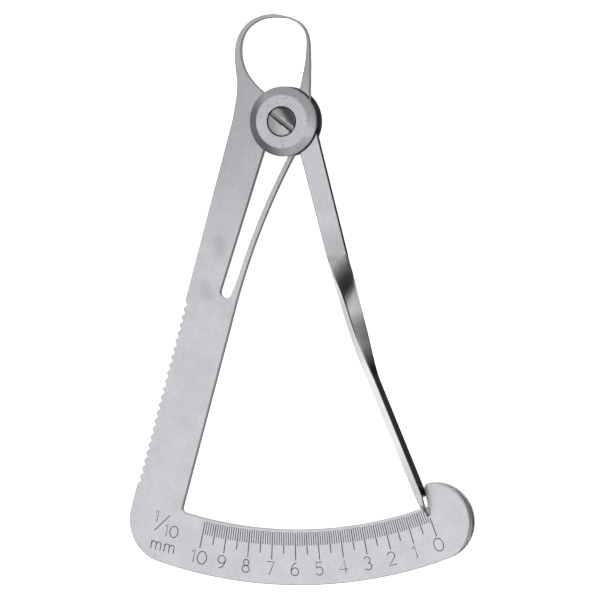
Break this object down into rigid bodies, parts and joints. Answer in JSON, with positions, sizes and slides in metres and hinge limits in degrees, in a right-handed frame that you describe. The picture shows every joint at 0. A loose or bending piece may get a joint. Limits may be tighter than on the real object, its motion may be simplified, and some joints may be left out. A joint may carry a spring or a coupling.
{
  "type": "dental measuring caliper",
  "caption": "Slim spring caliper with curved measuring tips, a leaf spring, a pivot between two bevelled discs and a twisted pointer over a millimetre arc scale.",
  "frame": {"origin": "on the pivot axis, in the back face of the back disc, on which the caliper lies", "axes": "+X to the right of the face that carries the scale, +Y from the scale towards the measuring tips, +Z out of the face that carries the scale"},
  "size_m": [0.062, 0.0987, 0.0059],
  "materials": {
    "sheet_steel": "satin stainless steel with polished edges",
    "disc_steel": "fine turned stainless steel",
    "screw_steel": "bright polished steel"
  },
  "bodies": {
    "scale_body": {"back_disc": "disc_steel", "scale_arm": "sheet_steel", "spring_leaf": "sheet_steel", "front_disc": "disc_steel", "pivot_screw": "screw_steel"},
    "pointer_body": {"pointer_arm": "sheet_steel", "spring_pin": "screw_steel"}
  },
  "joints": [
    {"name": "tips_opening", "type": "hinge", "parent": "scale_body", "child": "pointer_body", "pos_m": [0, 0, 0.00354], "axis": [0, 0, -1], "range_deg": [0, 32.7], "stiffness_Nm_per_rad": 0.145, "springref_deg": -14.9, "deforming": ["spring_leaf"]}
  ]
}
